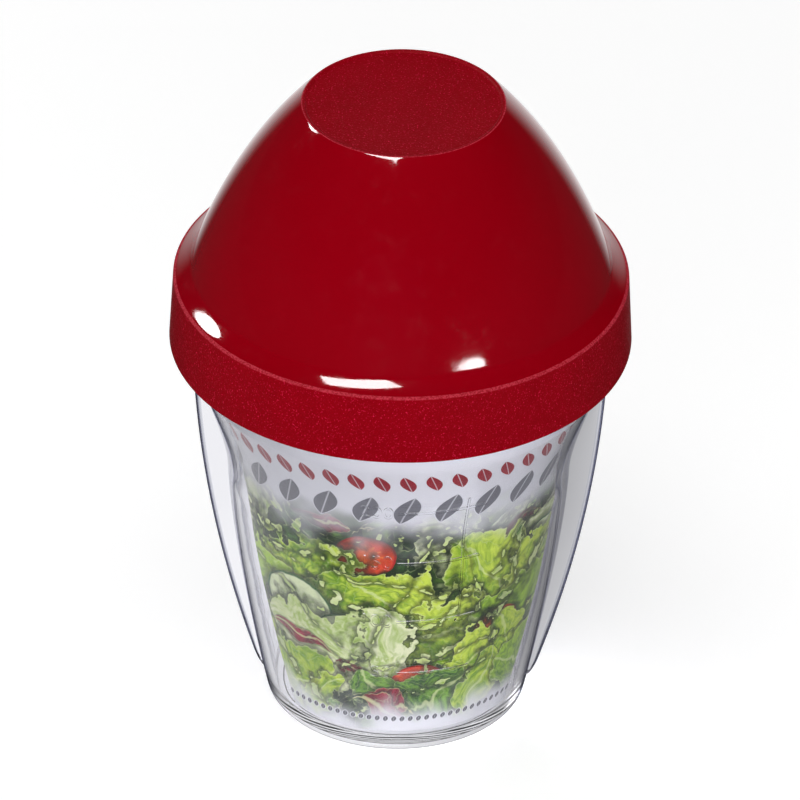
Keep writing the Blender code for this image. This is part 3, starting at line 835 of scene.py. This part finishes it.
# Lid: one red moulding. The dome and the shoulder under it are polished, and the flat top and the grip band
# have a fine spark texture. The band hides the inner thread, three helical ribs that run under the neck's.
band_lift = 0.0004
band_wall = 0.0019
band_flare = 0.00085
band_edge = 0.0004
band_crease = 0.00025
lid_roof = 0.0016
shoulder_inset = 0.0006
shoulder_rise = 0.00045
shoulder_slope_reach = 0.0018
shoulder_slope_rise = 0.0012
dome_foot_inset = 0.00315
dome_foot_rise = 0.003
dome_belly_inset = 0.00845
dome_belly_rise = 0.0271
fillet_reach, fillet_run = 0.0008, 0.00045
dome_top_radius = 0.02135
dome_rise = 0.0425
lid_wall = 0.0022
lip_width = 0.0006
lip_depth = 0.0004
lip_rounding = 0.00015
edge_wear_and_highlight_width = 0.00035
thread_play = 0.0004
thread_bearing = 0.0018
dome_steps, fillet_steps, shoulder_steps, lid_steps = 56, 8, 16, 240

lid_underside = seal_bottom + seal_thickness + fit_gap
band_inner_radius = thread_crest_radius + thread_side_gap
band_top_radius = band_inner_radius + band_wall
band_bottom_radius = band_top_radius + band_flare
band_bottom = neck_height + band_lift
band_top = lid_underside + lid_roof
shoulder_radius = band_top_radius - shoulder_inset
dome_foot_radius = shoulder_radius - dome_foot_inset
lid_height = band_top + dome_rise


def lid_shell():
    """The lid turned from its profile, with its matte faces marked."""
    lip = Vector((dome_top_radius, lid_height))
    belly = Vector((dome_foot_radius - dome_belly_inset, band_top + dome_belly_rise))
    dome_foot = Vector((dome_foot_radius, band_top + dome_foot_rise))
    slope = Vector((dome_foot_radius + shoulder_slope_reach, band_top + shoulder_slope_rise))
    shoulder = Vector((shoulder_radius, band_top + shoulder_rise))
    fillet_start = dome_foot + (belly - dome_foot).normalized() * fillet_reach
    fillet_end = dome_foot + (slope - dome_foot).normalized() * fillet_run
    dome = [lip, *bend(lip, belly, dome_foot, steps=dome_steps)]
    dome = [p for p in dome if p.y > fillet_start.y + lip_depth]
    foot = [fillet_start, *bend(fillet_start, dome_foot, fillet_end, steps=fillet_steps)]
    foot += bend(fillet_end, slope, shoulder, steps=shoulder_steps)
    disc = lid_height - lip_depth
    top = rounded(
        (0, disc, 0),
        (dome_top_radius - lip_width - lip_depth, disc, lip_rounding),
        (dome_top_radius - lip_width, lid_height, lip_rounding),
        (dome_top_radius, lid_height, lip_rounding),
        (dome[1].x, dome[1].y, 0),
    )[:-1]
    band = rounded(
        (shoulder.x, shoulder.y, 0),
        (band_top_radius, band_top + shoulder_rise / 2, band_crease),
        (band_bottom_radius, band_bottom, band_edge),
        (band_inner_radius, band_bottom, band_edge),
        (band_inner_radius, lid_underside, band_edge),
        (dome_foot_radius - lid_wall, lid_underside, band_edge),
        (dome_foot_radius - lid_wall, lid_underside + lid_wall, 0),
        steps=4,
    )[1:-1]
    inner = []
    for low, point, high in zip(dome, dome[1:], [*dome[2:], dome_foot]):
        along = (high - low).normalized()
        inner.append(point + Vector((along.y, -along.x)) * lid_wall)
    ceiling = disc - lid_wall
    inner = [p for p in reversed(inner) if lid_underside + lid_wall < p.y < ceiling]
    profile = top + dome[1:] + foot + band + inner + [Vector((0, ceiling))]
    lid = turned(profile, (2 * math.pi, lid_steps))
    for face in lid.faces:
        centre = face.calc_center_median()
        radius = centre.xy.length
        on_disc = centre.z > disc - weld_distance and radius < dome_top_radius
        on_band = radius > shoulder_radius and centre.z < band_top + shoulder_rise
        face.material_index = int(on_disc or on_band)
    return lid


def level_part(tree, place):
    """A place or a direction without its height."""
    return node(tree, "ShaderNodeVectorMath", {0: place, 1: (1, 1, 0)}, operation="MULTIPLY").outputs[0]


def off_axis(tree, place):
    """The distance of a place from the part's upright axis."""
    level = level_part(tree, place)
    return node(tree, "ShaderNodeVectorMath", {0: level}, operation="LENGTH").outputs["Value"]


polished_red, tree, surface, place = finish("polished_red", IOR=1.5)
cloud = mixed(tree, noise(tree, place, 30, 3), tone(146, 0, 22), tone(154, 1, 27))
scuffs = between(tree, noise(tree, place, 260, 6, 0.7), 0.45, 0.8, 0.05, 0.16)
surfaced(tree, surface, cloud, scuffs, noise(tree, place, 45, 2), 0.05, 0.0004)

matte_red, tree, surface, place = finish("matte_red", IOR=1.5, Specular_IOR_Level=0.03)
spark = noise(tree, place, 2600, 2, 0.65)
body = mixed(tree, noise(tree, place, 160, 3), tone(140, 1, 21), tone(156, 2, 26))
# Bright pink flecks in the colour are painted glints, standing in for the sparkle of the spark texture.
painted_sparkle_glint = calc(tree, "MULTIPLY", between(tree, spark, 0.58, 0.72), 0.8)
body = mixed(tree, painted_sparkle_glint, body, tone(238, 40, 78))
rise = node(tree, "ShaderNodeSeparateXYZ", {0: place}).outputs[2]
reach = off_axis(tree, place)
crease_height = band_top + shoulder_rise / 2
# Paler edges at the band's top and foot and at the flat top's lip: partly wear, partly a painted highlight
# where the rounded edges catch the lamps.
upper_edge = between(tree, rise, crease_height - edge_wear_and_highlight_width, crease_height - edge_wear_and_highlight_width / 2)
lower_edge = between(tree, rise, band_bottom + edge_wear_and_highlight_width / 2, band_bottom + edge_wear_and_highlight_width, 0.6, 0.0)
lip_edge = between(tree, reach, dome_top_radius - lip_rounding * 2, dome_top_radius - lip_rounding)
edge_wear_and_highlight = calc(tree, "MAXIMUM", calc(tree, "MULTIPLY", upper_edge, lip_edge), lower_edge)
edge_wear_and_highlight = calc(tree, "MULTIPLY", edge_wear_and_highlight, between(tree, spark, 0.35, 0.6, 0.15, 0.85))
body = mixed(tree, edge_wear_and_highlight, body, tone(206, 62, 78))
surfaced(tree, surface, body, between(tree, spark, 0.3, 0.7, 0.55, 0.36), spark, 0.6, 0.00012)

lid = piece("red_lid", lid_shell(), polished_red, matte_red)
lid_rib_start = neck_height + thread_run_in - thread_bearing
moulded_on(lid, piece("lid_thread", thread_ribs(band_inner_radius, neck_radius + thread_play, lid_rib_start)))
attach(lid, "lid")
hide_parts("lid")

# Floor: the plain white table of the studio, which takes the part's soft shadow. In the lid's gloss and
# through the clear wall it shows a glow of painted light and shade instead, darker to the front and, near the
# part, to the sides.
table_size = 4
table_glow = 0.46


def behind_share(tree, place):
    """How much a place lies straight behind the part: 1 behind it, 0 at a side and -1 in front."""
    heading = node(tree, "ShaderNodeVectorMath", {0: level_part(tree, place)}, operation="NORMALIZE")
    return node(tree, "ShaderNodeSeparateXYZ", {0: heading.outputs[0]}).outputs[1]


def shown_in_part(tree, paths, mirrored, seen_through):
    """The strength that the part's gloss mirrors, and that its clear plastic lets through."""
    through = paths["Is Transmission Ray"]
    reflected = calc(tree, "MAXIMUM", calc(tree, "SUBTRACT", paths["Is Glossy Ray"], through), 0.0)
    in_gloss = calc(tree, "MULTIPLY", reflected, mirrored)
    return calc(tree, "MAXIMUM", in_gloss, calc(tree, "MULTIPLY", through, seen_through))


floor_mesh = bmesh.new()
bmesh.ops.create_grid(floor_mesh, x_segments=1, y_segments=1, size=table_size)
table_white, tree, surface, place = finish("table_white", Base_Color=(0.8, 0.8, 0.8, 1), Roughness=0.8)
paths = node(tree, "ShaderNodeLightPath").outputs
far_right, far_behind = node(tree, "ShaderNodeSeparateXYZ", {0: place}).outputs[:2]
# Painted shade: the glow in the gloss is bright only straight behind, and the glow seen through the clear
# wall is weaker to the front and the sides.
mirrored = between(tree, behind_share(tree, place), 0.78, 0.95, 0.03, 1.0)
seen_through = between(tree, far_behind, -0.075, -0.045, 0.25, 1.0)
seen_through = calc(tree, "MULTIPLY", seen_through, between(tree, far_right, -0.01, 0.055, 1.0, 0.36))
seen_through = calc(tree, "MULTIPLY", seen_through, between(tree, far_right, -0.15, -0.09, 0.6, 1.0))
far_off = between(tree, off_axis(tree, place), 0.12, 0.4, 0.0, 1.0)
seen_through = calc(tree, "MAXIMUM", seen_through, far_off)
shown = shown_in_part(tree, paths, mirrored, seen_through)
not_lit = calc(tree, "MAXIMUM", paths["Is Glossy Ray"], paths["Is Transmission Ray"])
lift = node(tree, "ShaderNodeEmission", {"Color": (1, 1, 1, 1), "Strength": table_glow})
lit = node(tree, "ShaderNodeAddShader", {0: surface.outputs[0], 1: lift.outputs[0]})
sheen = node(tree, "ShaderNodeEmission", {"Color": (1, 1, 1, 1), "Strength": shown})
other = node(tree, "ShaderNodeMixShader", {0: not_lit, 1: surface.outputs[0], 2: sheen.outputs[0]})
whole = node(tree, "ShaderNodeMixShader", {0: paths["Is Camera Ray"], 1: other.outputs[0], 2: lit.outputs[0]})
tree.links.new(whole.outputs[0], tree.nodes["Material Output"].inputs["Surface"])
table = piece("table", floor_mesh, table_white)

# Studio: a white backdrop in a dark room. Three small lamps only show as highlights, over the front, behind
# the left and low at the right. Two wide soft ones light the part from the front and the top.
backdrop_light = 0.45
world = bpy.data.worlds.new("studio")
bpy.context.scene.world = world
world.use_nodes = True
tree = world.node_tree
background = tree.nodes["Background"]
direction = node(tree, "ShaderNodeTexCoord").outputs["Generated"]
paths = node(tree, "ShaderNodeLightPath").outputs
low = between(tree, node(tree, "ShaderNodeSeparateXYZ", {0: direction}).outputs[2], 0.1, 0.4, 1.0, 0.0)
behind = behind_share(tree, direction)
mirrored = calc(tree, "MULTIPLY", low, between(tree, behind, 0.78, 0.95, 0.02, 1.0))
seen_through = calc(tree, "MULTIPLY", low, between(tree, behind, 0.4, 0.85, 0.3, 1.0))
level = shown_in_part(tree, paths, mirrored, seen_through)
level = calc(tree, "MAXIMUM", level, calc(tree, "MULTIPLY", paths["Is Diffuse Ray"], backdrop_light))
level = calc(tree, "MAXIMUM", level, paths["Is Camera Ray"])
tree.links.new(level, background.inputs["Color"])


def softbox(name, shape, aim, direction, distance, width, height, radiance, roll=0.0):
    """One soft lamp, seen from its aim in a direction, with an even radiance over its face."""
    light = bpy.data.lights.new(name, "AREA")
    light.shape = shape
    light.size, light.size_y = width, height
    area = width * height * (math.pi / 4 if shape in ("DISK", "ELLIPSE") else 1)
    light.energy = radiance * math.pi * area
    lamp = placed(name, light)
    toward = Vector(direction).normalized()
    lamp.location = Vector(aim) + toward * distance
    facing = toward.to_track_quat("Z", "X").to_matrix()
    lamp.rotation_euler = (facing @ Matrix.Rotation(roll, 3, "Z")).to_euler()
    return lamp


for name, shape, aim, direction, distance, width, height, radiance, roll in (
    ("over_front", "RECTANGLE", (-0.006, -0.045, 0.105), (-0.212, -0.383, 0.899), 1.0, 0.22, 0.47, 24, -4),
    ("behind_left", "DISK", (-0.039, -0.024, 0.105), (-0.757, 0.42, 0.53), 1.0, 0.29, 0.29, 24, 0),
    ("low_right", "ELLIPSE", (0.015, -0.041, 0.107), (0.59, -0.807, 0.058), 1.3, 0.11, 0.46, 30, 0),
):
    gloss = softbox(name, shape, aim, direction, distance, width, height, radiance, math.radians(roll))
    gloss.visible_diffuse = False
fill_aim, fill_distance, fill_width, fill_height = (0, 0, 0.06), 1.6, 0.9, 1.1
for name, direction, radiance in (
    ("front_fill", (-0.1, -0.95, 0.25), 2.6),
    ("top_fill", (-0.1, -0.3, 0.95), 1.95),
):
    fill = softbox(name, "RECTANGLE", fill_aim, direction, fill_distance, fill_width, fill_height, radiance)
    fill.visible_glossy = False

# Camera: the photograph's view, from a long lens a little above and in front of the part.
camera = bpy.data.cameras.new("camera")
camera.lens = 427.5
camera.clip_end = 20
viewer = placed("camera", camera)
camera_distance = 2.02
camera_turn = math.radians(2)
camera_rise = math.radians(33.6)
camera_roll = math.radians(0.8)
camera_aim = Vector((0.0001, 0, 0.0717))
back = Matrix.Rotation(camera_turn, 3, "Z") @ Vector((0, -math.cos(camera_rise), math.sin(camera_rise)))
viewer.location = camera_aim + back * camera_distance
upright = back.to_track_quat("Z", "Y").to_matrix()
viewer.rotation_euler = (upright @ Matrix.Rotation(camera_roll, 3, "Z")).to_euler()
bpy.context.scene.camera = viewer
bpy.context.scene.view_settings.view_transform = "Standard"
bounces = bpy.context.scene.cycles
bounces.max_bounces = bounces.transmission_bounces = bounces.glossy_bounces = 64
